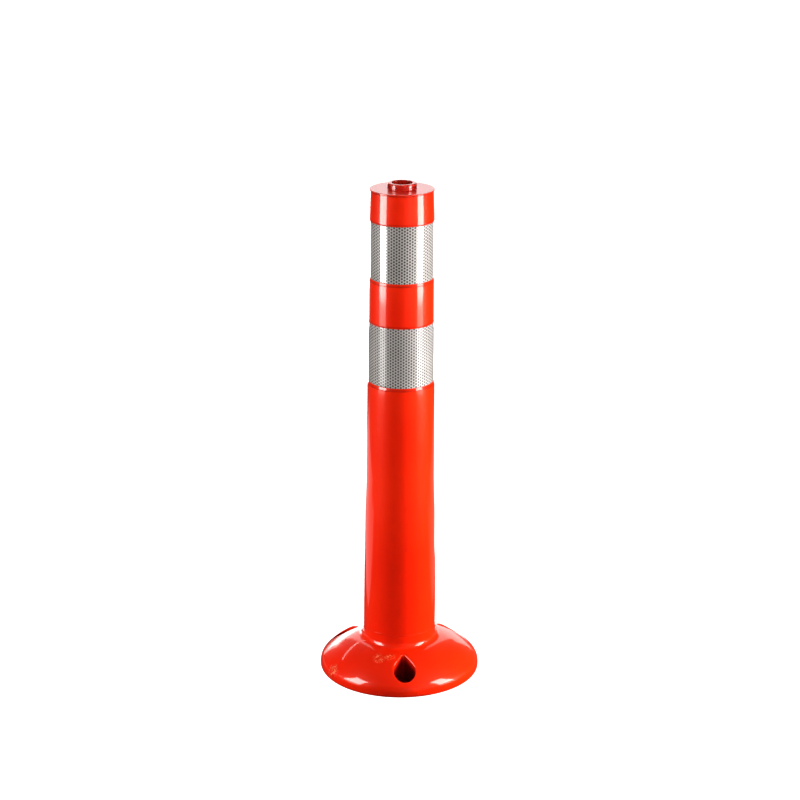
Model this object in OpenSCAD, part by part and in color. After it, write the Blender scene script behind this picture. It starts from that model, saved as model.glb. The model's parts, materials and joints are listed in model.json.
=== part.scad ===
// Flexible tubular delineator post: flared foot, bending neck, hollow tube, two bands, cap.
// Millimetres, +Z up, origin at the centre of the foot on the ground.

/* [Foot] */
// Outer diameter of the foot
foot_d = 200; // [196:1:206]
// Radius of the flank's bulge, seen in profile
dome_r = 100; // [95:1:110]
// Slope of the flank where it leaves the shoulder, in degrees from level
dome_slope = 45; // [44:0.5:46]
// Rounding of the foot's shoulder, between rim and flank
shoulder_r = 14; // [12:0.5:15]
// Rounding of the corner between flank and neck
fillet_r = 8; // [5:0.5:9]
// Height at which the rim's upright wall ends
rim_h = 7; // [5:0.5:8]
// Rounding of the rim where it meets the ground
rim_r = 4; // [1:0.5:5]
// Wall of the foot over its hollow underside
foot_wall = 7; // [5:0.5:8]
// Number of ribs under the foot
rib_count = 12; // [9:3:18]
// Thickness of each rib
rib_t = 4; // [3:0.5:6]

/* [Bolt pockets] */
// Pitch circle diameter of the pockets
bolt_pcd = 160; // [154:1:162]
// Number of pockets
bolt_count = 3; // [2:1:4]
// Turn of the first pocket about +Z, in degrees
bolt_turn = -90; // [-180:1:180]
// Diameter of the pocket that takes the bolt head and washer
pocket_d = 27; // [24:0.5:28]
// Distance from a pocket's centre to its narrow inner end's centre
pocket_reach = 17; // [14:0.5:18]
// Diameter of the pocket's narrow inner end
pocket_tip_d = 7; // [5:0.5:10]
// Height of the seat under the washer
seat_h = 6; // [5:0.5:12]
// Diameter of the anchor bolt's through hole
bolt_hole_d = 13; // [9:0.5:17]
// Wall of the boss around each pocket
boss_wall = 5; // [4:0.5:6]

/* [Tube] */
// Outer diameter where the tube leaves the foot
tube_foot_d = 91.5; // [86:0.5:94]
// Outer diameter below the flare
tube_swell_d = 87.4; // [84:0.2:90]
// Outer diameter above the flare
tube_mid_d = 83.8; // [80:0.2:86]
// Outer diameter just under the lower band
tube_band_d = 82.2; // [80:0.2:84]
// Height where the flare starts
flare_lo = 196; // [180:1:205]
// Height where the flare ends
flare_hi = 262; // [240:1:300]
// Wall of the tube
tube_wall = 4; // [3:0.5:5]
// Height of the fold line, halfway up the bending neck
neck_mid = 110; // [106:1:116]
// Height of the neck's upper end
neck_top = 160; // [155:1:170]
// Height of the tube's top edge, under the lid
tube_top = 617.9; // [605:0.1:640]

/* [Bands] */
// Height of the lower band's bottom edge
band_lo_z = 381.5; // [370:0.1:385]
// Width of the lower band
band_lo_w = 74.7; // [65:0.1:80]
// Height of the upper band's bottom edge
band_hi_z = 511.2; // [500:0.1:515]
// Width of the upper band
band_hi_w = 69.9; // [60:0.1:75]
// Outer diameter of the lower band
band_lo_d = 79.4; // [78.4:0.1:80]
// Outer diameter of the upper band
band_hi_d = 77.8; // [76.8:0.1:78.4]
// Thickness of the reflective sheeting
band_t = 0.6; // [0.4:0.1:1]
// Outer diameter of the tube just above the lower band
collar_mid_lo_d = 79.9; // [79.6:0.1:80.4]
// Outer diameter of the tube just below the upper band
collar_mid_hi_d = 79.3; // [78.6:0.1:79.8]
// Outer diameter of the tube just above the upper band
collar_top_lo_d = 79.2; // [78.6:0.1:79.6]
// Outer diameter of the tube just below the lid
collar_top_hi_d = 77.0; // [76:0.1:78]
// Height of the bevel on the ledge under each band
ledge_h = 3.2; // [2:0.1:5]
// Rounding of each collar's lower edge
collar_r = 1.6; // [0.4:0.1:2]

/* [Cap] */
// Outer diameter of the lid
lid_d = 78.2; // [77:0.1:80]
// Thickness of the lid
lid_t = 1.6; // [1.2:0.1:3]
// Outer diameter of the collar on the lid
cap_collar_d = 35; // [32:0.5:40]
// Inner diameter of the collar on the lid
cap_bore_d = 24.5; // [20:0.5:28]
// Height of the collar above the lid
cap_collar_h = 7.2; // [5:0.2:12]
// Depth of the plug skirt inside the tube
skirt_h = 26; // [15:1:40]
// Wall of the plug skirt
skirt_wall = 3; // [2:0.5:4]

/* [Hidden] */
$fn = 96;
cut = 1; // how far a cut runs past the face it opens
orange = [0.93, 0.16, 0.05];
film = [0.72, 0.71, 0.70];
foot_r = foot_d / 2;
tube_foot_r = tube_foot_d / 2;
bore_foot_r = tube_foot_r - tube_wall;
bore_swell_r = tube_swell_d / 2 - tube_wall;
top_wall = 3.4;
bore_top_r = collar_top_hi_d / 2 - top_wall;
lid_z = tube_top;
lid_top = lid_z + lid_t;
bolt_r = bolt_pcd / 2;
band_lo = [band_lo_z, band_lo_z + band_lo_w];
band_hi = [band_hi_z, band_hi_z + band_hi_w];

// Points on an arc in the r-z half plane, from angle a0 to a1
function arc(r, z, rad, a0, a1, n = 12) =
    [for (i = [0 : n]) let (a = a0 + (a1 - a0) * i / n) [r + rad * cos(a), z + rad * sin(a)]];

// The shoulder's arc runs into the flank's wider arc where the flank has its given slope
shoulder_c = [foot_r - shoulder_r, rim_h];
dome_c = shoulder_c - (dome_r - shoulder_r) * [sin(dome_slope), cos(dome_slope)];

// The fillet is tangent to the neck and, from outside, to the flank's arc; its centre is at
// the height where the foot ends and the neck begins
fillet_across = tube_foot_r + fillet_r - dome_c[0];
foot_h = dome_c[1] + sqrt(pow(dome_r + fillet_r, 2) - pow(fillet_across, 2));
fillet_c = [tube_foot_r + fillet_r, foot_h];
fillet_turn = atan2(foot_h - dome_c[1], fillet_across);

// Outer line of the foot, from the ground up to the neck
foot_outline = concat(
    arc(foot_r - rim_r, rim_r, rim_r, -90, 0, 6),
    arc(shoulder_c[0], shoulder_c[1], shoulder_r, 0, 90 - dome_slope, 6),
    arc(dome_c[0], dome_c[1], dome_r, 90 - dome_slope, fillet_turn, 8),
    arc(fillet_c[0], fillet_c[1], fillet_r, 180 + fillet_turn, 180, 8)
);

// Radius of the tube's outer wall between the neck's foot and the lower band, with a
// smooth flare between flare_lo and flare_hi
function ease(t) = t * t * (3 - 2 * t);
function mix(a, b, t) = a + (b - a) * min(1, max(0, t));
function wall_r(z) =
    z <= flare_lo ? mix(tube_foot_d, tube_swell_d, (z - foot_h) / (flare_lo - foot_h)) / 2
    : z <= flare_hi
        ? (tube_swell_d + (tube_mid_d - tube_swell_d)
           * ease((z - flare_lo) / (flare_hi - flare_lo))) / 2
        : mix(tube_mid_d, tube_band_d, (z - flare_hi) / (band_lo[0] - flare_hi)) / 2;

// Radius of the tube's bore
function bore_r(z) =
    z <= foot_h ? bore_foot_r
    : z <= flare_lo ? mix(bore_foot_r, bore_swell_r, (z - foot_h) / (flare_lo - foot_h))
    : mix(bore_swell_r, bore_top_r, (z - flare_lo) / (tube_top - skirt_h - flare_lo));

// A stretch of plain tube wall between two heights
module tube_wall_section(z0, z1) {
    rotate_extrude()
        polygon([
            [bore_r(z0), z0],
            [wall_r(z0), z0],
            [wall_r(z1), z1],
            [bore_r(z1), z1]
        ]);
}

// Pockets' positions on the foot
module at_bolts() {
    for (i = [0 : bolt_count - 1])
        rotate([0, 0, bolt_turn + i * 360 / bolt_count])
            translate([bolt_r, 0, 0]) children();
}

// A teardrop seen from above, round the bolt and narrow towards the post, grown on all sides
module teardrop(grow, h) {
    big = pocket_d / 2 + grow;
    small = pocket_tip_d / 2 + grow;
    lean = asin((big - small) / pocket_reach);
    side = [-sin(lean), cos(lean)];
    tip = [-pocket_reach, 0];
    cylinder(r = big, h = h);
    translate(tip) cylinder(r = small, h = h);
    linear_extrude(h)
        polygon([
            big * side,
            tip + small * side,
            tip + small * [side[0], -side[1]],
            big * [side[0], -side[1]]
        ]);
}

// The foot's outer shape, solid
module foot_solid() {
    rotate_extrude()
        polygon(concat([[0, 0]], foot_outline, [[0, foot_h]]));
}

// The hollow under the foot, between hub and rim; its ceiling follows the flank at the
// foot's wall below it
module foot_hollow() {
    hub_r = bore_foot_r + foot_wall;
    rim_in_r = foot_r - foot_wall;
    ceiling_r = dome_r - foot_wall;
    a0 = acos((rim_in_r - dome_c[0]) / ceiling_r);
    a1 = acos((hub_r - dome_c[0]) / ceiling_r);
    rotate_extrude()
        polygon(concat(
            [[hub_r, -cut], [rim_in_r, -cut]],
            arc(dome_c[0], dome_c[1], ceiling_r, a0, a1, 4)
        ));
}

// Ribs and bosses that fill part of the hollow; the ribs stay clear of the ground and their
// ends lie inside the hub's and the rim's walls
module foot_stiffeners() {
    rib_lift = 1.5;
    rib_start = bore_foot_r + 2;
    rib_end = foot_r - 4;
    for (i = [0 : rib_count - 1])
        rotate([0, 0, bolt_turn + (i + 0.5) * 360 / rib_count])
            translate([rib_start, -rib_t / 2, rib_lift])
                cube([rib_end - rib_start, rib_t, foot_h]);
    at_bolts() teardrop(boss_wall, foot_h);
}

module base_flange() {
    color(orange)
    difference() {
        union() {
            difference() {
                foot_solid();
                foot_hollow();
            }
            intersection() {
                foot_stiffeners();
                foot_solid();
            }
        }
        translate([0, 0, -cut]) cylinder(r = bore_foot_r, h = foot_h + 2 * cut);
        at_bolts() translate([0, 0, seat_h]) teardrop(0, foot_h);
        at_bolts() translate([0, 0, -cut]) cylinder(d = bolt_hole_d, h = seat_h + 2 * cut);
    }
}

module neck_lower() {
    color(orange) tube_wall_section(foot_h, neck_mid);
}

module neck_upper() {
    color(orange) tube_wall_section(neck_mid, neck_top);
}

// The wall above the neck: flare, ledge and recess of each band, and two collars
module post_tube() {
    flare_n = 10;
    flare = [for (i = [0 : flare_n])
        let (z = flare_lo + (flare_hi - flare_lo) * i / flare_n) [wall_r(z), z]];
    recess_lo_r = band_lo_d / 2 - band_t;
    recess_hi_r = band_hi_d / 2 - band_t;
    top_edge = 0.8;
    outer = concat(
        [[wall_r(neck_top), neck_top]],
        flare,
        [[tube_band_d / 2, band_lo[0] - ledge_h],
         [recess_lo_r + band_t, band_lo[0]],
         [recess_lo_r, band_lo[0]],
         [recess_lo_r, band_lo[1]]],
        arc(collar_mid_lo_d / 2 - collar_r, band_lo[1] + collar_r, collar_r, -90, 0, 6),
        [[collar_mid_hi_d / 2, band_hi[0] - ledge_h],
         [recess_hi_r + band_t, band_hi[0]],
         [recess_hi_r, band_hi[0]],
         [recess_hi_r, band_hi[1]]],
        arc(collar_top_lo_d / 2 - collar_r, band_hi[1] + collar_r, collar_r, -90, 0, 6),
        arc(collar_top_hi_d / 2 - top_edge, tube_top - top_edge, top_edge, 0, 90, 4)
    );
    inner = [
        [bore_top_r, tube_top],
        [bore_top_r, tube_top - skirt_h],
        [bore_swell_r, flare_lo],
        [bore_r(neck_top), neck_top]
    ];
    color(orange) rotate_extrude() polygon(concat(outer, inner));
}

// A strip of sheeting wrapped round its recess
module band(z, d) {
    translate([0, 0, z[0]])
    difference() {
        cylinder(d = d, h = z[1] - z[0]);
        translate([0, 0, -cut]) cylinder(d = d - 2 * band_t, h = z[1] - z[0] + 2 * cut);
    }
}

module band_lower() {
    color(film) band(band_lo, band_lo_d);
}

module band_upper() {
    color(film) band(band_hi, band_hi_d);
}

// Lid with rounded edges, plug skirt below, open collar above
module top_cap() {
    lid_edge = 0.6;
    collar_edge = 1.8;
    corner = 1;
    lid_r = lid_d / 2;
    out_r = cap_collar_d / 2;
    collar_top = lid_top + cap_collar_h;
    color(orange)
    difference() {
        rotate_extrude()
            polygon(concat(
                [[bore_top_r, lid_z - skirt_h]],
                [[bore_top_r, lid_z]],
                arc(lid_r - lid_edge, lid_z + lid_edge, lid_edge, -90, 0, 4),
                arc(lid_r - lid_edge, lid_top - lid_edge, lid_edge, 0, 90, 4),
                [[out_r + corner, lid_top], [out_r, lid_top + corner]],
                arc(out_r - collar_edge, collar_top - collar_edge, collar_edge, 0, 90, 6),
                [[0, collar_top], [0, lid_z], [bore_top_r - skirt_wall, lid_z]],
                [[bore_top_r - skirt_wall, lid_z - skirt_h]]
            ));
        translate([0, 0, lid_z - cut])
            cylinder(d = cap_bore_d, h = lid_t + cap_collar_h + 2 * cut);
    }
}

base_flange();
neck_lower();
neck_upper();
post_tube();
band_lower();
band_upper();
top_cap();
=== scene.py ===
"""Looks of the flexible delineator post: moulded polyurethane skin, prismatic sheeting, cap."""
import json
import math

import bmesh
import bpy
from mathutils import Matrix, Vector
from mathutils.geometry import delaunay_2d_cdt


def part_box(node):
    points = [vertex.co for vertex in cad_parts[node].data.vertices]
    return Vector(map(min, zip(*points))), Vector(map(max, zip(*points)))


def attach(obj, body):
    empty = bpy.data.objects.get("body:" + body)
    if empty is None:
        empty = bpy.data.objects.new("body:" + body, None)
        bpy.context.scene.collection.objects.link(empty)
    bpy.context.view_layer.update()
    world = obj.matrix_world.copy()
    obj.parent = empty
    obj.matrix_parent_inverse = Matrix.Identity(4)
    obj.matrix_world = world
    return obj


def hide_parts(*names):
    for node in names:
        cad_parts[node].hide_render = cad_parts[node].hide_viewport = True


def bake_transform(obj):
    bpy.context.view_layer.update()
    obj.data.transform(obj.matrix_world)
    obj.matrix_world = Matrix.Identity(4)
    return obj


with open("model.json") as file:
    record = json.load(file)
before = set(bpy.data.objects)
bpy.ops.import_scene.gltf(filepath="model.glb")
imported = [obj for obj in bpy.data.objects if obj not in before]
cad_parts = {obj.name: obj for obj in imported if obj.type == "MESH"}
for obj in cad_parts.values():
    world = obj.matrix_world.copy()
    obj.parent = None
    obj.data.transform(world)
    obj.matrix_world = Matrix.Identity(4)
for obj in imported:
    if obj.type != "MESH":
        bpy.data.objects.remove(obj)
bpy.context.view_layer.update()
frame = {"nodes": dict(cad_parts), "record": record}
nodes = frame["nodes"]
MM = 0.001
TAU = 2 * math.pi


# ---------------------------------------------------------------- camera

def look_from(distance, height, azimuth, pitch, yaw, roll, lens):
    """A camera that stands at azimuth round the post's axis, pitched down towards it."""
    data = bpy.data.cameras.new("Camera")
    data.lens = lens
    data.sensor_width = 36.0
    camera = bpy.data.objects.new("Camera", data)
    bpy.context.scene.collection.objects.link(camera)
    turn = Matrix.Rotation(azimuth + math.pi / 2 - yaw, 4, "Z")
    tilt = Matrix.Rotation(math.pi / 2 - pitch, 4, "X")
    camera.matrix_world = (
        Matrix.Translation((distance * math.cos(azimuth), distance * math.sin(azimuth), height))
        @ turn @ tilt @ Matrix.Rotation(roll, 4, "Z")
    )
    bpy.context.scene.camera = camera


CAMERA_AZIMUTH = math.radians(-94.8)
look_from(distance=2.5, height=1.1737, azimuth=CAMERA_AZIMUTH, pitch=math.radians(18.136),
          yaw=math.radians(-0.023), roll=math.radians(0.34), lens=96.56)


# ---------------------------------------------------------------- sizes

# from the CAD model's boxes and mounts
FOOT_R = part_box("base_flange")[1].x
FOOT_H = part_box("base_flange")[1].z
NECK_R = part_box("neck_lower")[1].x
NECK_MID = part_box("neck_lower")[1].z
NECK_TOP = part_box("neck_upper")[1].z
TUBE_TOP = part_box("post_tube")[1].z
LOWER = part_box("band_lower")
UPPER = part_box("band_upper")
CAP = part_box("top_cap")
mounts = {m["name"]: m for m in frame["record"]["mounts"]}
BOLT_R = mounts["anchor_bolts"]["dims"]["pcd_mm"] / 2 * MM
BOLT_HOLE_R = mounts["anchor_bolts"]["dims"]["hole_r_mm"] * MM
CAP_BORE_R = mounts["cap_collar"]["dims"]["r_mm"] * MM

# the foot's profile, as in the CAD model
WALL = 4 * MM
RIM_H, RIM_R, SHOULDER_R = 7 * MM, 4 * MM, 14 * MM
DOME_R, DOME_SLOPE, FILLET_R = 100 * MM, math.radians(45), 8 * MM
BORE_R = NECK_R - WALL

# the bolt pockets: a round end about the bolt, a narrow tip towards the post, rolled edges
POCKET_R, SEAT_H, POCKET_EDGE = 13.5 * MM, 6 * MM, 1.3 * MM
TIP_R, TIP_REACH = 3.5 * MM, 17 * MM
SEAT_FILLET = 1.2 * MM
POCKETS = [math.radians(-90 + 120 * i) for i in range(3)]


def arc(r, z, radius, start, stop, steps):
    """Points on an arc in the r-z half plane, angles in degrees."""
    out = []
    for i in range(steps + 1):
        a = math.radians(start + (stop - start) * i / steps)
        out.append((r + radius * math.cos(a), z + radius * math.sin(a)))
    return out


def line(p, q, steps):
    """Points from p to q, both included."""
    return [(p[0] + (q[0] - p[0]) * i / steps, p[1] + (q[1] - p[1]) * i / steps)
            for i in range(steps + 1)]


def tidy(points, gap=1e-6):
    """Drops points that repeat their neighbour."""
    out = []
    for p in points:
        if not out or math.dist(p, out[-1]) > gap:
            out.append(p)
    return out


# ---------------------------------------------------------------- mesh helpers

def piece(name, verts, faces, uvs=None, angle=40):
    """A new smooth-shaded object, sharp where faces meet past the angle."""
    mesh = bpy.data.meshes.new(name)
    mesh.from_pydata(verts, [], faces)
    if uvs:
        layer = mesh.uv_layers.new(name="UVMap")
        for loop, uv in zip(layer.data, (uv for face in uvs for uv in face)):
            loop.uv = uv
    mesh.validate()
    mesh.shade_smooth()
    mesh.set_sharp_from_angle(angle=math.radians(angle))
    obj = bpy.data.objects.new(name, mesh)
    bpy.context.scene.collection.objects.link(obj)
    return obj


def keep_rest(obj):
    """Stores where each vertex is at rest, so a material's pattern stays put as the skin bends."""
    mesh = obj.data
    rest = mesh.attributes.new("rest", "FLOAT_VECTOR", "POINT")
    rest.data.foreach_set("vector", [c for v in mesh.vertices for c in v.co])
    return obj


def revolve(outline, segments, closed=True):
    """Quads round the axis from an r-z outline that runs up the outside; u is the way round."""
    outline = tidy(outline)
    count = len(outline)
    verts = [(r * math.cos(TAU * k / segments), r * math.sin(TAU * k / segments), z)
             for r, z in outline for k in range(segments)]
    run = [0.0]
    for i in range(count):
        run.append(run[-1] + math.dist(outline[i], outline[(i + 1) % count]))
    widest = max(r for r, z in outline)
    faces, uvs = [], []
    for i in range(count if closed else count - 1):
        j = (i + 1) % count
        for k in range(segments):
            n = (k + 1) % segments
            faces.append((i * segments + k, i * segments + n, j * segments + n, j * segments + k))
            u0, u1 = (TAU * widest * t / segments for t in (k, k + 1))
            uvs.append(((u0, run[i]), (u1, run[i]), (u1, run[i + 1]), (u0, run[i + 1])))
    return verts, faces, uvs


def lathe(name, outline, segments=192, angle=40):
    return keep_rest(piece(name, *revolve(outline, segments), angle=angle))


# ---------------------------------------------------------------- the foot

SHOULDER_C = (FOOT_R - SHOULDER_R, RIM_H)
DOME_C = (SHOULDER_C[0] - (DOME_R - SHOULDER_R) * math.sin(DOME_SLOPE),
          SHOULDER_C[1] - (DOME_R - SHOULDER_R) * math.cos(DOME_SLOPE))
FILLET_C = (NECK_R + FILLET_R, FOOT_H)
FILLET_TURN = math.atan2(FILLET_C[1] - DOME_C[1], FILLET_C[0] - DOME_C[0])
FILLET_END = FILLET_C[0] - FILLET_R * math.cos(FILLET_TURN)


def foot_z(r):
    """Height of the foot's outer skin at radius r: fillet, flank's bulge, shoulder."""
    if r < FILLET_END:
        return FOOT_H - math.sqrt(max(0.0, FILLET_R ** 2 - (FILLET_C[0] - r) ** 2))
    if r < DOME_C[0] + DOME_R * math.sin(DOME_SLOPE):
        return DOME_C[1] + math.sqrt(DOME_R ** 2 - (r - DOME_C[0]) ** 2)
    return RIM_H + math.sqrt(max(0.0, SHOULDER_R ** 2 - (r - SHOULDER_C[0]) ** 2))


LEAN = math.asin((POCKET_R - TIP_R) / TIP_REACH)


def pocket_gap(x, y):
    """Distance from the nearest pocket's wall: a teardrop round the bolt, narrow towards the post."""
    gaps = []
    for turn in POCKETS:
        inward = BOLT_R - x * math.cos(turn) - y * math.sin(turn)
        across = abs(y * math.cos(turn) - x * math.sin(turn))
        along = inward * math.cos(LEAN) - across * math.sin(LEAN)
        if along < 0:
            gaps.append(math.hypot(inward, across) - POCKET_R)
        elif along > TIP_REACH * math.cos(LEAN):
            gaps.append(math.hypot(inward - TIP_REACH, across) - TIP_R)
        else:
            gaps.append(inward * math.sin(LEAN) + across * math.cos(LEAN) - POCKET_R)
    return min(gaps)


def hole_gap(x, y):
    """Distance from the nearest bolt hole's wall."""
    bolts = [(BOLT_R * math.cos(turn), BOLT_R * math.sin(turn)) for turn in POCKETS]
    return min(math.dist((x, y), bolt) for bolt in bolts) - BOLT_HOLE_R


def teardrop(turn, grow, tip=1.0):
    """A ring of points round a pocket at that distance from its wall; with tip 0 it is a circle."""
    round_steps, tip_steps, side_steps = 46, 14, 9
    bend = math.pi / 2 - LEAN

    def end(centre, radius, start, stop, steps):
        angles = [start + (stop - start) * k / (steps - 1) for k in range(steps)]
        return [(radius * math.cos(a) - centre, radius * math.sin(a)) for a in angles]

    wide = end(0, POCKET_R + grow, bend - math.pi, math.pi - bend, round_steps)
    narrow = end(TIP_REACH, TIP_R + grow, math.pi - bend, math.pi + bend, tip_steps)
    sides = [line(wide[-1], narrow[0], side_steps)[1:-1], line(narrow[-1], wide[0], side_steps)[1:-1]]
    out = []
    for across, along in wide + sides[0] + narrow + sides[1]:
        if tip < 1:
            rounding = tip + (1 - tip) * (POCKET_R + grow) / math.hypot(across, along)
            across, along = across * rounding, along * rounding
        radial = BOLT_R + across
        out.append((radial * math.cos(turn) - along * math.sin(turn),
                    radial * math.sin(turn) + along * math.cos(turn)))
    return out


def skin_z(x, y):
    """The outer skin's height, rolled over into the pockets' edges."""
    gap = max(0.0, pocket_gap(x, y))
    drop = 0.0
    if gap < POCKET_EDGE:
        drop = POCKET_EDGE - math.sqrt(POCKET_EDGE ** 2 - (POCKET_EDGE - gap) ** 2)
    return foot_z(math.hypot(x, y)) - drop


class Skin:
    """Vertices and faces that grow ring by ring."""

    def __init__(self, verts, faces):
        self.verts, self.faces = verts, faces

    def add(self, points):
        """New vertices; returns their indices."""
        first = len(self.verts)
        self.verts += points
        return list(range(first, len(self.verts)))

    def close(self, last, new):
        """Quads between two rings with as many vertices."""
        for k in range(len(last)):
            self.faces.append((last[k - 1], last[k], new[k], new[k - 1]))

    def skirt(self, loop, outline):
        """Carries a ring on along an r-z outline round the post's axis."""
        last = loop
        for r, z in outline:
            points = []
            for i in loop:
                x, y = self.verts[i][:2]
                grow = r / math.hypot(x, y)
                points.append((x * grow, y * grow, z))
            new = self.add(points)
            self.close(last, new)
            last = new


SKIN_END = 97 * MM
SKIN_AROUND, SKIN_RINGS = 288, 34
POCKET_OFFSETS = (0, 0.12, 0.35, 0.7, 1.3, 2.1, 3.1)
POCKET_CLEARANCE = 3.35 * MM


def skin_plan():
    """The outer skin seen from above, with holes at the pockets: points in rings round the post
    and round each pocket, the triangles between them, and the loops of indices at the inner
    edge, the outer edge and each pocket's edge."""
    points, loops = [], []
    for i in range(SKIN_RINGS + 1):
        r = FILLET_END + (SKIN_END - FILLET_END) * i / SKIN_RINGS
        ring = []
        for k in range(SKIN_AROUND):
            x, y = r * math.cos(TAU * k / SKIN_AROUND), r * math.sin(TAU * k / SKIN_AROUND)
            if pocket_gap(x, y) > POCKET_CLEARANCE:
                ring.append(len(points))
                points.append((x, y))
        if i in (0, SKIN_RINGS):
            loops.append(ring)
    for turn in POCKETS:
        for offset in POCKET_OFFSETS:
            ring = teardrop(turn, offset * MM)
            if offset == 0:
                loops.append(list(range(len(points), len(points) + len(ring))))
            points += ring
    edges = [(loop[k - 1], loop[k]) for loop in loops for k in range(len(loop))]
    plane = [Vector((x / MM, y / MM)) for x, y in points]
    corners, _, triangles, _, _, _ = delaunay_2d_cdt(plane, edges, [], 0, 1e-5, True)
    assert len(corners) == len(points)
    hub = FILLET_END * math.cos(math.pi / SKIN_AROUND)
    faces = []
    for face in triangles:
        x, y = (sum(points[i][axis] for i in face) / 3 for axis in (0, 1))
        if math.hypot(x, y) > hub and pocket_gap(x, y) > 0.004 * MM:
            faces.append(tuple(face))
    return points, faces, loops


def add_pocket(skin, turn, loop):
    """A pocket's wall from its edge down, the fillet at its seat, the seat and the bolt hole."""
    wall_steps, bottom = 9, SEAT_H + SEAT_FILLET
    tops = [skin.verts[i][2] for i in loop]
    rings = []
    for k in range(1, wall_steps + 1):
        rings.append([(x, y, top + (bottom - top) * (k / wall_steps))
                      for top, (x, y) in zip(tops, teardrop(turn, 0.0))])
    hole = BOLT_HOLE_R - POCKET_R
    seat = [(grow, z, 1.0) for grow, z in arc(-SEAT_FILLET, bottom, SEAT_FILLET, 0, -90, 5)[1:]]
    seat += [(10 * MM - POCKET_R, SEAT_H, 0.3), (8 * MM - POCKET_R, SEAT_H, 0.0)]
    seat += [(hole + inset * MM, SEAT_H - drop * MM, 0.0)
             for inset, drop in ((0.5, 0), (0.15, 0.15), (0, 0.5))]
    seat.append((hole, 0.0, 0.0))
    for grow, z, tip in seat:
        rings.append([(x, y, z) for x, y in teardrop(turn, grow, tip)])
    last = loop
    for ring in rings:
        new = skin.add(ring)
        skin.close(last[::-1], new[::-1])
        last = new


def add_underside(skin):
    """The ribbed underside and the bore: the CAD solid's faces that aren't part of the outer
    skin, the rim, a pocket or a bolt hole."""
    source = nodes["base_flange"].data
    for polygon in source.polygons:
        x, y, z = polygon.center
        r = math.hypot(x, y)
        on_skin = r > NECK_R - 0.1 * MM and abs(z - foot_z(min(r, FOOT_R))) < 0.35 * MM
        on_rim = r > FOOT_R - RIM_R - 0.02 * MM and z < RIM_H + 1 * MM
        in_pocket = pocket_gap(x, y) < 0.2 * MM and z > SEAT_H - 0.1 * MM
        in_hole = hole_gap(x, y) < 0.1 * MM
        if not (on_skin or on_rim or in_pocket or in_hole):
            corners = [tuple(source.vertices[i].co) for i in polygon.vertices]
            skin.faces.append(tuple(skin.add(corners)))


def pocket_shade(x, y, z):
    """How much painted shade a point of the skin gets: 0 at a pocket's edge and outside it, 1 at its
    floor.
    """
    if pocket_gap(x, y) >= 0.2 * MM:
        return 0.0
    depth = foot_z(math.hypot(x, y)) - z
    return min(1.0, max(0.0, depth - 1.5 * MM) / (9 * MM))


def foot_skin():
    """The foot: a domed outer skin with its rim and pockets, over the CAD solid's underside."""
    points, faces, (inner, outer, *pockets) = skin_plan()
    skin = Skin([(x, y, skin_z(x, y)) for x, y in points], faces)
    reach = math.degrees(math.acos((SKIN_END - SHOULDER_C[0]) / SHOULDER_R))
    skin.skirt(outer[::-1], arc(*SHOULDER_C, SHOULDER_R, reach * 0.9, 0, 9)
               + line((FOOT_R, RIM_H), (FOOT_R, RIM_R), 2)[1:]
               + arc(FOOT_R - RIM_R, RIM_R, RIM_R, 0, -90, 8)[1:])
    skin.skirt(inner, arc(*FILLET_C, FILLET_R, 180 + math.degrees(FILLET_TURN), 180, 16)[1:])
    for turn, loop in zip(POCKETS, pockets):
        add_pocket(skin, turn, loop)
    top_count = len(skin.verts)
    # painted shade: darker the deeper a point lies in a pocket
    shades = [pocket_shade(*point) for point in skin.verts]
    add_underside(skin)
    shades += [0.0] * (len(skin.verts) - top_count)
    obj = piece("foot_moulding", skin.verts, skin.faces)
    layer = obj.data.attributes.new("shade", "FLOAT", "POINT")
    layer.data.foreach_set("value", shades)
    build = bmesh.new()
    build.from_mesh(obj.data)
    under = [v for v in build.verts if v.index >= top_count]
    bmesh.ops.remove_doubles(build, verts=under, dist=0.02 * MM)
    build.to_mesh(obj.data)
    build.free()
    obj.data.shade_smooth()
    obj.data.set_sharp_from_angle(angle=math.radians(35))
    return keep_rest(obj)


foot = foot_skin()
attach(foot, "foot")
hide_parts("base_flange")


# ---------------------------------------------------------------- tube and neck

# radii below the flare, above it and under the lower band; the flare's two heights
SWELL_R, MID_R, BAND_LEDGE_R = 43.7 * MM, 41.9 * MM, 41.1 * MM
FLARE_LO, FLARE_HI = 196 * MM, 262 * MM
LEDGE_H = 3.2 * MM
# radii of the two collars at their lower and upper ends
COLLAR_MID = (39.95 * MM, 39.65 * MM)
COLLAR_TOP = (39.6 * MM, 38.5 * MM)
COLLAR_EDGE, TUBE_EDGE = 1.6 * MM, 0.8 * MM
SHEET_T, SHEET_MARGIN = 0.6 * MM, 1 * MM
SKIRT_H = 26 * MM
BORE_TOP_R = COLLAR_TOP[1] - 3.4 * MM
BORE_SWELL_R = SWELL_R - WALL


def mix(a, b, t):
    """From a to b as t goes from 0 to 1."""
    return a + (b - a) * min(1.0, max(0.0, t))


def wall_r(z):
    """Outer radius of the tube below the lower band."""
    if z <= FLARE_LO:
        return mix(NECK_R, SWELL_R, (z - FOOT_H) / (FLARE_LO - FOOT_H))
    if z <= FLARE_HI:
        t = (z - FLARE_LO) / (FLARE_HI - FLARE_LO)
        return mix(SWELL_R, MID_R, t * t * (3 - 2 * t))
    return mix(MID_R, BAND_LEDGE_R, (z - FLARE_HI) / (LOWER[0].z - FLARE_HI))


def bore_r(z):
    """Inner radius of the tube."""
    if z <= FLARE_LO:
        return mix(BORE_R, BORE_SWELL_R, (z - FOOT_H) / (FLARE_LO - FOOT_H))
    return mix(BORE_SWELL_R, BORE_TOP_R, (z - FLARE_LO) / (TUBE_TOP - SKIRT_H - FLARE_LO))


def spread(z0, z1, step):
    """Even heights from z0 to z1, about step apart."""
    count = max(1, round((z1 - z0) / step))
    return [z0 + (z1 - z0) * i / count for i in range(count + 1)]


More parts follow.
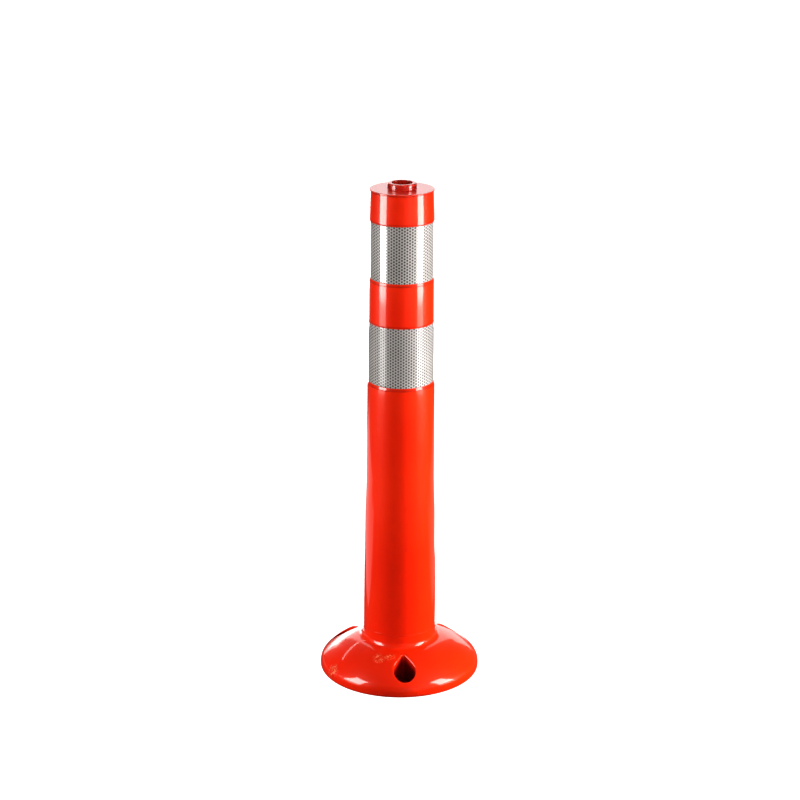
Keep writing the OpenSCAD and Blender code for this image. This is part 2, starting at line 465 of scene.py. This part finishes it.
def wall_outline(z0, z1, step):
    """A stretch of tube wall, up the outside and down the bore."""
    rows = spread(z0, z1, step)
    return [(wall_r(z), z) for z in rows] + [(bore_r(z), z) for z in reversed(rows)]


NECK_STEP = 1.6 * MM
neck_low = lathe("neck_moulding_low", wall_outline(FOOT_H, NECK_MID, NECK_STEP))
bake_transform(neck_low)
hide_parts("neck_lower")
neck_high = lathe("neck_moulding_high", wall_outline(NECK_MID, NECK_TOP, NECK_STEP))
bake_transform(neck_high)
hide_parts("neck_upper")


def recess(band):
    """Ledge under a band, and the recess that the sheet lies in."""
    low, high, face = band[0].z, band[1].z, band[1].x
    back = face - SHEET_T
    lip = (face + 0.12 * MM, low - 0.25 * MM)
    return [lip, (face, low), (back, low + 0.05 * MM),
            *line((back, low + SHEET_MARGIN), (back, high - SHEET_MARGIN), 6), (back, high)]


def collar(band, radii, top):
    """The tube's collar above a band, from its rolled lower edge."""
    low = band[1].z
    edge = arc(radii[0] - COLLAR_EDGE, low + COLLAR_EDGE, COLLAR_EDGE, -90, 0, 8)
    return edge + line((radii[0], low + 2 * COLLAR_EDGE), (radii[1], top), 10)


def groove(r, z):
    """A fine mould line round the tube, just below a ledge."""
    bottom = r - 0.34 * MM
    return [(r, z - 0.45 * MM), (r - 0.1 * MM, z - 0.3 * MM), (bottom, z - 0.1 * MM),
            (bottom, z + 0.1 * MM), (r - 0.06 * MM, z + 0.3 * MM)]


def paint_shade_rings(obj, rings):
    """Paints shade into a skin in rings (height, reach, strength), where an edge or groove keeps
    light out.
    """
    shade = obj.data.attributes.new("shade", "FLOAT", "POINT")
    for entry, vertex in zip(shade.data, obj.data.vertices):
        near = [dark * (1 - abs(vertex.co.z - z) / reach) for z, reach, dark in rings]
        entry.value = max(0.0, *near)


tube_outline = (
    [(wall_r(z), z) for z in spread(NECK_TOP, LOWER[0].z - LEDGE_H - 1 * MM, 4 * MM)]
    + groove(BAND_LEDGE_R, LOWER[0].z - LEDGE_H)
    + recess(LOWER)
    + collar(LOWER, COLLAR_MID, UPPER[0].z - LEDGE_H - 1 * MM)
    + groove(COLLAR_MID[1], UPPER[0].z - LEDGE_H)
    + recess(UPPER)
    + collar(UPPER, COLLAR_TOP, TUBE_TOP - 1.4 * MM)
    + arc(COLLAR_TOP[1] - TUBE_EDGE, TUBE_TOP - TUBE_EDGE, TUBE_EDGE, 0, 90, 6)
    + [(BORE_TOP_R, TUBE_TOP), (BORE_TOP_R, TUBE_TOP - SKIRT_H)]
    + [(bore_r(z), z) for z in reversed(spread(NECK_TOP, TUBE_TOP - SKIRT_H - 4 * MM, 12 * MM))]
)
tube = lathe("tube_moulding", tube_outline, angle=30)
# painted shade: a dark line under the lid's rim, in the grooves below the ledges and at the top of
# the collars' rolled lower edges
paint_shade_rings(tube, [(TUBE_TOP, 1.6 * MM, 0.9)]
             + [(band[0].z - LEDGE_H, 0.7 * MM, 0.6) for band in (LOWER, UPPER)]
             + [(band[1].z + COLLAR_EDGE, 0.7 * MM, 0.5) for band in (LOWER, UPPER)])
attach(tube, "post")
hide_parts("post_tube")


# ---------------------------------------------------------------- reflective sheets

def sheet_band(name, band, node):
    """A strip of sheeting wrapped round its recess, with its end lapped over its start."""
    segments, lap_start = 288, math.radians(104)
    lap, lap_end = math.radians(9), math.radians(14)
    low, high, face = band[0].z, band[1].z, band[1].x
    edge, slack, sunk = 0.18 * MM, 0.1 * MM, 0.22 * MM
    rows = [(face - SHEET_T, low + slack), (face - edge, low + slack),
            *arc(face - edge, low + slack + edge, edge, -60, 0, 3),
            *line((face, low + SHEET_MARGIN), (face, high - SHEET_MARGIN), 24),
            *arc(face - edge, high - slack - edge, edge, 0, 60, 3),
            (face - edge, high - slack), (face - SHEET_T, high - slack)]
    verts, faces, uvs = revolve(rows, segments)
    moved = []
    for x, y, z in verts:
        past = (math.atan2(y, x) - lap_start) % TAU
        inward = sunk * min(1.0, max(0.0, (past - lap) / (lap_end - lap))) / face
        moved.append((x * (1 - inward), y * (1 - inward), z))
    obj = keep_rest(piece(name, moved, faces, uvs, angle=30))
    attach(obj, "post")
    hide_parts(node)
    return obj


sheets = [sheet_band("sheet_lower", LOWER, "band_lower"),
          sheet_band("sheet_upper", UPPER, "band_upper")]


# ---------------------------------------------------------------- cap

LID_Z = TUBE_TOP
LID_R = CAP[1].x
LID_TOP = LID_Z + 1.6 * MM
UNDER_EDGE, LID_EDGE = 0.4 * MM, 0.8 * MM
SPOUT_R, SPOUT_TOP = 17.5 * MM, CAP[1].z
SPOUT_FILLET, SPOUT_EDGE, BORE_EDGE = 1.2 * MM, 1.8 * MM, 1.0 * MM
PLUG_LOW, PLUG_IN_R = CAP[0].z, BORE_TOP_R - 3 * MM
PLUG_R = BORE_TOP_R - 0.02 * MM
plug = (
    [(BORE_TOP_R - 0.6 * MM, PLUG_LOW), (BORE_TOP_R - 0.05 * MM, PLUG_LOW + 1.4 * MM)]
    + line((PLUG_R, PLUG_LOW + 3 * MM), (PLUG_R, LID_Z - 0.6 * MM), 3)
)
lid = (
    [(BORE_TOP_R + 0.3 * MM, LID_Z), (LID_R - 1.4 * MM, LID_Z)]
    + arc(LID_R - UNDER_EDGE, LID_Z + UNDER_EDGE, UNDER_EDGE, -90, 0, 5)
    + arc(LID_R - LID_EDGE, LID_TOP - LID_EDGE, LID_EDGE, 0, 90, 7)
    + line((LID_R - 3 * MM, LID_TOP), (SPOUT_R + SPOUT_FILLET + 1 * MM, LID_TOP), 8)
)
spout = (
    arc(SPOUT_R + SPOUT_FILLET, LID_TOP + SPOUT_FILLET, SPOUT_FILLET, 270, 180, 6)
    + arc(SPOUT_R - SPOUT_EDGE, SPOUT_TOP - SPOUT_EDGE, SPOUT_EDGE, 0, 90, 8)
    + arc(CAP_BORE_R + BORE_EDGE, SPOUT_TOP - BORE_EDGE, BORE_EDGE, 90, 180, 6)
    + line((CAP_BORE_R, SPOUT_TOP - 2 * MM), (CAP_BORE_R, LID_Z + 0.6 * MM), 4)
)
inside = [
    (CAP_BORE_R + 0.3 * MM, LID_Z), (CAP_BORE_R + 1 * MM, LID_Z),
    (PLUG_IN_R - 1 * MM, LID_Z), (PLUG_IN_R, LID_Z - 1 * MM), (PLUG_IN_R, PLUG_LOW)
]
cap = lathe("cap_moulding", plug + lid + spout + inside, angle=50)
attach(cap, "post")
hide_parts("top_cap")


# ---------------------------------------------------------------- materials

class Shader:
    """A small builder for node materials."""

    def __init__(self, name):
        self.material = bpy.data.materials.new(name)
        self.material.use_nodes = True
        self.tree = self.material.node_tree
        self.tree.nodes.clear()
        self.bsdf = self.node("ShaderNodeBsdfPrincipled")
        out = self.node("ShaderNodeOutputMaterial")
        self.link(self.bsdf.outputs[0], out.inputs[0])
        rest = self.node("ShaderNodeAttribute")
        rest.attribute_name = "rest"
        self.rest = rest.outputs["Vector"]

    def node(self, kind, **settings):
        """A new node with those settings."""
        made = self.tree.nodes.new(kind)
        for key, value in settings.items():
            setattr(made, key, value)
        return made

    def link(self, a, b):
        self.tree.links.new(a, b)

    def put(self, socket, value):
        """Links a socket, or sets a plain value."""
        if isinstance(value, bpy.types.NodeSocket):
            self.link(value, socket)
        else:
            socket.default_value = value

    def math(self, operation, *values):
        made = self.node("ShaderNodeMath", operation=operation)
        for socket, value in zip(made.inputs, values):
            self.put(socket, value)
        return made.outputs[0]

    def stretch(self, vector, scale):
        made = self.node("ShaderNodeMapping")
        self.put(made.inputs["Vector"], vector)
        made.inputs["Scale"].default_value = scale
        return made.outputs[0]

    def noise(self, scale, detail=3.0, vector=None, rough=0.5, distortion=0.0):
        made = self.node("ShaderNodeTexNoise")
        self.put(made.inputs["Vector"], self.rest if vector is None else vector)
        made.inputs["Scale"].default_value = scale
        made.inputs["Detail"].default_value = detail
        made.inputs["Roughness"].default_value = rough
        made.inputs["Distortion"].default_value = distortion
        return made.outputs["Fac"]

    def span(self, value, low, high, to_low=0.0, to_high=1.0, smooth=False):
        """Maps low..high to to_low..to_high."""
        made = self.node("ShaderNodeMapRange")
        made.interpolation_type = "SMOOTHSTEP" if smooth else "LINEAR"
        for socket, v in zip(made.inputs, (value, low, high, to_low, to_high)):
            self.put(socket, v)
        return made.outputs[0]

    def blend(self, factor, a, b):
        made = self.node("ShaderNodeMix", data_type="RGBA")
        self.put(made.inputs[0], factor)
        self.put(made.inputs[6], a)
        self.put(made.inputs[7], b)
        return made.outputs[2]

    def bump(self, height, distance, strength=1.0, under=None):
        made = self.node("ShaderNodeBump")
        made.inputs["Strength"].default_value = strength
        made.inputs["Distance"].default_value = distance
        self.put(made.inputs["Height"], height)
        if under is not None:
            self.link(under, made.inputs["Normal"])
        return made.outputs[0]

    def finish(self, **sockets):
        """Sets the shader's sockets, with _ for a space in a socket's name."""
        for name, value in sockets.items():
            self.put(self.bsdf.inputs[name.replace("_", " ")], value)
        return self.material


# painted shade: the colour that pockets, grooves and the gaps under edges are darkened towards
PAINTED_SHADE = (0.10, 0.0015, 0.003, 1)
SCRATCHED = (1.0, 0.30, 0.14, 1)


def add_scars(s, colour, normal, scars):
    """Scratched spots (centre, radius): pale strokes that stand out a little."""
    scratch = s.noise(120.0, 4.0, rough=0.55, distortion=3.0)
    for place, reach in scars:
        gap = s.node("ShaderNodeVectorMath", operation="DISTANCE")
        s.link(s.rest, gap.inputs[0])
        gap.inputs[1].default_value = place
        near = s.span(gap.outputs["Value"], 0.4 * reach, reach, 1.0, 0.0, smooth=True)
        mark = s.math("MULTIPLY", near, s.span(scratch, 0.5, 0.6, smooth=True))
        colour = s.blend(s.math("MULTIPLY", mark, 0.8), colour, SCRATCHED)
        normal = s.bump(s.math("MULTIPLY", near, scratch), 1.6 * MM, under=normal)
    return colour, normal


def add_seams(s, normal):
    """The mould's parting line along the post and its ring line round the neck's foot."""
    split = s.node("ShaderNodeSeparateXYZ")
    s.link(s.rest, split.inputs[0])
    from_parting = s.math("ABSOLUTE", split.outputs[1])
    from_ring = s.math("ABSOLUTE", s.math("SUBTRACT", split.outputs[2], FOOT_H + 9 * MM))
    joint = s.math("MAXIMUM", s.span(from_parting, 0.2 * MM, 0.6 * MM, 1.0, 0.0, smooth=True),
                   s.span(from_ring, 0.2 * MM, 0.7 * MM, 1.0, 0.0, smooth=True))
    return s.bump(joint, 0.25 * MM, under=normal)


def moulded(name, deep, light, roughness, scars=(), seams=False):
    """Glossy moulded polyurethane: cloudy pigment, orange peel, fine scuffs, painted shade in
    pockets, grooves and under edges.
    """
    s = Shader(name)
    cloud = s.noise(9.0, 4.0, rough=0.55)
    drift = s.noise(3.0, 2.0)
    colour = s.blend(s.span(cloud, 0.35, 0.68), deep, light)
    darker = tuple(0.82 * channel for channel in deep[:3]) + (1,)
    colour = s.blend(s.span(drift, 0.3, 0.7, 0.0, 0.35), colour, darker)
    # painted shade: the attribute shade darkens the pigment deep in pockets, in grooves and under
    # edges
    painted_shade_mask = s.node("ShaderNodeAttribute", attribute_name="shade").outputs["Fac"]
    colour = s.blend(s.math("MULTIPLY", painted_shade_mask, 0.85), colour, PAINTED_SHADE)
    flow = s.noise(60.0, 2.0, s.stretch(s.rest, (1.0, 1.0, 0.12)))
    peel = s.noise(420.0, 2.0)
    scuffs = s.noise(46.0, 6.0, s.stretch(s.rest, (1.0, 1.0, 2.4)), rough=0.72, distortion=1.4)
    worn = s.span(scuffs, 0.62, 0.74, 0.0, 1.0, smooth=True)
    rough = s.math("ADD", s.span(cloud, 0.3, 0.7, roughness - 0.03, roughness + 0.04),
                   s.math("MULTIPLY", worn, 0.12))
    normal = s.bump(peel, 0.03 * MM)
    normal = s.bump(flow, 0.12 * MM, under=normal)
    normal = s.bump(scuffs, 0.05 * MM, under=normal)
    if scars:
        colour, normal = add_scars(s, colour, normal, scars)
    if seams:
        normal = add_seams(s, normal)
    return s.finish(Base_Color=colour, Roughness=rough, Normal=normal, IOR=1.5,
                    Specular_IOR_Level=0.25, Coat_Weight=1.0, Coat_Roughness=0.075, Coat_IOR=1.6)


def sheeting():
    """Prismatic sheeting: a honeycomb of seals round dark cells under a clear glossy film."""
    s = Shader("prismatic_sheeting")
    pitch = 3.72 * MM  # of a column of cells, along the sheet's height
    column = pitch * math.sqrt(3) / 2
    uv = s.node("ShaderNodeUVMap", uv_map="UVMap")
    split = s.node("ShaderNodeSeparateXYZ")
    s.link(uv.outputs[0], split.inputs[0])
    u, v = split.outputs[0], split.outputs[1]

    def nearest(du, dv):
        """Distance from the nearest cell centre of one rectangular half of the honeycomb."""
        a = s.math("PINGPONG", s.math("ADD", u, du), column)
        b = s.math("PINGPONG", s.math("ADD", v, dv), pitch / 2)
        return s.math("SQRT", s.math("ADD", s.math("MULTIPLY", a, a), s.math("MULTIPLY", b, b)))

    near = s.math("MINIMUM", nearest(0.0, 0.0), nearest(column, pitch / 2))
    cell = s.span(near, 0.26 * pitch, 0.40 * pitch, 1.0, 0.0, smooth=True)
    tone = s.noise(14.0, 3.0)
    seal = s.blend(s.span(tone, 0.35, 0.65), (0.47, 0.445, 0.42, 1), (0.54, 0.515, 0.49, 1))
    prism = s.blend(s.span(tone, 0.35, 0.65), (0.085, 0.072, 0.068, 1), (0.12, 0.105, 0.10, 1))
    colour = s.blend(cell, seal, prism)
    ripple = s.noise(24.0, 2.0, s.stretch(s.rest, (1.0, 1.0, 0.5)))
    normal = s.bump(cell, 0.04 * MM)
    normal = s.bump(ripple, 0.3 * MM, under=normal)
    return s.finish(Base_Color=colour, Roughness=0.34, Metallic=0.0, Normal=normal, IOR=1.5,
                    Specular_IOR_Level=0.3, Coat_Weight=1.0, Coat_Roughness=0.04, Coat_IOR=1.78)


def dress(obj, material):
    """Gives an object one material."""
    obj.data.materials.clear()
    obj.data.materials.append(material)


scars = [((-0.030, -0.060, 0.038), 0.010), ((-0.0165, -0.061, 0.039), 0.008),
         ((-0.0875, -0.044, 0.0135), 0.012)]
orange = moulded("orange_polyurethane", (0.86, 0.029, 0.0006, 1), (0.91, 0.040, 0.0009, 1), 0.36,
                 scars, seams=True)
cap_orange = moulded("cap_polyurethane", (0.76, 0.034, 0.014, 1), (0.85, 0.050, 0.018, 1), 0.38)
for obj in (foot, neck_low, neck_high, tube):
    dress(obj, orange)
dress(cap, cap_orange)
film = sheeting()
for obj in sheets:
    dress(obj, film)


# ---------------------------------------------------------------- floor, light

def glow(name, where, aim, size, radiance, lights=True, reflects=True):
    """A soft box: an area light of size (width, height) and that radiance, turned to aim. It
    lights surfaces, shows as a reflection in them, or both."""
    data = bpy.data.lights.new(name, "AREA")
    data.shape = "RECTANGLE"
    data.size, data.size_y = size
    data.energy = radiance * math.pi * size[0] * size[1]
    obj = bpy.data.objects.new(name, data)
    bpy.context.scene.collection.objects.link(obj)
    turn = (Vector(aim) - Vector(where)).to_track_quat("-Z", "Y").to_matrix().to_4x4()
    obj.matrix_world = Matrix.Translation(where) @ turn
    obj.visible_camera = False
    obj.visible_diffuse = lights
    obj.visible_glossy = reflects


def at(azimuth_from_camera, distance, z):
    """A point round the post, its azimuth in degrees counted from the camera's side."""
    a = CAMERA_AZIMUTH + math.radians(azimuth_from_camera)
    return distance * math.cos(a), distance * math.sin(a), z


def standing(name, azimuth, distance, z, size, radiance):
    """A box that only shows in the gloss, facing the post level."""
    glow(name, at(azimuth, distance, z), at(0, 0, z), size, radiance, lights=False)


def lying(name, azimuth, distance, size, radiance):
    """A box on the table that only shows in the gloss."""
    glow(name, at(azimuth, distance, 0.001), at(azimuth, distance, 1.0), size, radiance,
         lights=False)


# a key light and a tall bright strip on each side, with a short dim strip for the foot
for label, side, width, strip, key in (("left", -1, 0.48, 7.0, 12.0), ("right", 1, 0.43, 8.0, 27.0)):
    standing("strip_" + label, 68 * side, 1.0, 0.695, (width, 0.93), strip)
    standing("strip_foot_" + label, 68 * side, 1.0, 0.15, (width, 0.16), strip * 0.24)
    glow("flood_" + label, at(82 * side, 1.0, 0.24), at(0, 0, 0.30), (0.5, 0.44), key,
         reflects=False)
glow("flood_front", at(24, 1.6, 0.4), at(0, 0, 0.3), (0.9, 0.7), 3.4, reflects=False)
glow("flood_top", at(10, 0.25, 0.98), at(0, 0, 0.63), (0.3, 0.3), 3.2, reflects=False)

# what the lid, the back of the foot and the tube's edges reflect
glow("backdrop_high", at(180, 1.5, 1.35), at(0, 0, 1.35), (1.3, 1.7), 1.0)
standing("backdrop_left", -163, 1.55, 0.25, (0.9, 0.5), 1.3)
standing("backdrop_left_core", -163, 1.52, 0.25, (0.68, 0.32), 1.9)
standing("backdrop_right", 166, 1.55, 0.25, (0.75, 0.5), 1.1)
glow("reflector_left", at(-141, 1.5, 1.08), at(0, 0, 0.03), (0.8, 0.05), 3.2, lights=False)
lying("table_near", 180, 0.23, (0.2, 0.24), 1.5)
lying("table_far", 180, 0.85, (0.4, 1.0), 1.5)
lying("table_left", -133, 0.67, (0.48, 0.8), 0.45)
lying("table_right", 143, 0.67, (0.48, 0.8), 0.2)

ground = bpy.data.meshes.new("floor")
ground.from_pydata([(-30, -30, 0), (30, -30, 0), (30, 30, 0), (-30, 30, 0)], [], [(0, 1, 2, 3)])
floor = bpy.data.objects.new("floor", ground)
bpy.context.scene.collection.objects.link(floor)
paper = Shader("floor_paper")
dress(floor, paper.finish(Base_Color=(0.2, 0.2, 0.2, 1), Roughness=0.9,
                          Emission_Color=(1, 1, 1, 1), Emission_Strength=0.94))
floor.visible_glossy = False
floor.visible_diffuse = False

world = bpy.data.worlds.new("Studio")
bpy.context.scene.world = world
world.use_nodes = True
sky = world.node_tree
sky.nodes.clear()
room = sky.nodes.new("ShaderNodeBackground")
room.inputs["Color"].default_value = (0.06, 0.06, 0.06, 1)
seen = sky.nodes.new("ShaderNodeBackground")
seen.inputs["Color"].default_value = (1, 1, 1, 1)
path = sky.nodes.new("ShaderNodeLightPath")
either = sky.nodes.new("ShaderNodeMixShader")
end = sky.nodes.new("ShaderNodeOutputWorld")
sky.links.new(path.outputs["Is Camera Ray"], either.inputs[0])
sky.links.new(room.outputs[0], either.inputs[1])
sky.links.new(seen.outputs[0], either.inputs[2])
sky.links.new(either.outputs[0], end.inputs[0])
bpy.context.scene.view_settings.view_transform = "Standard"
bpy.context.scene.view_settings.look = "High Contrast"
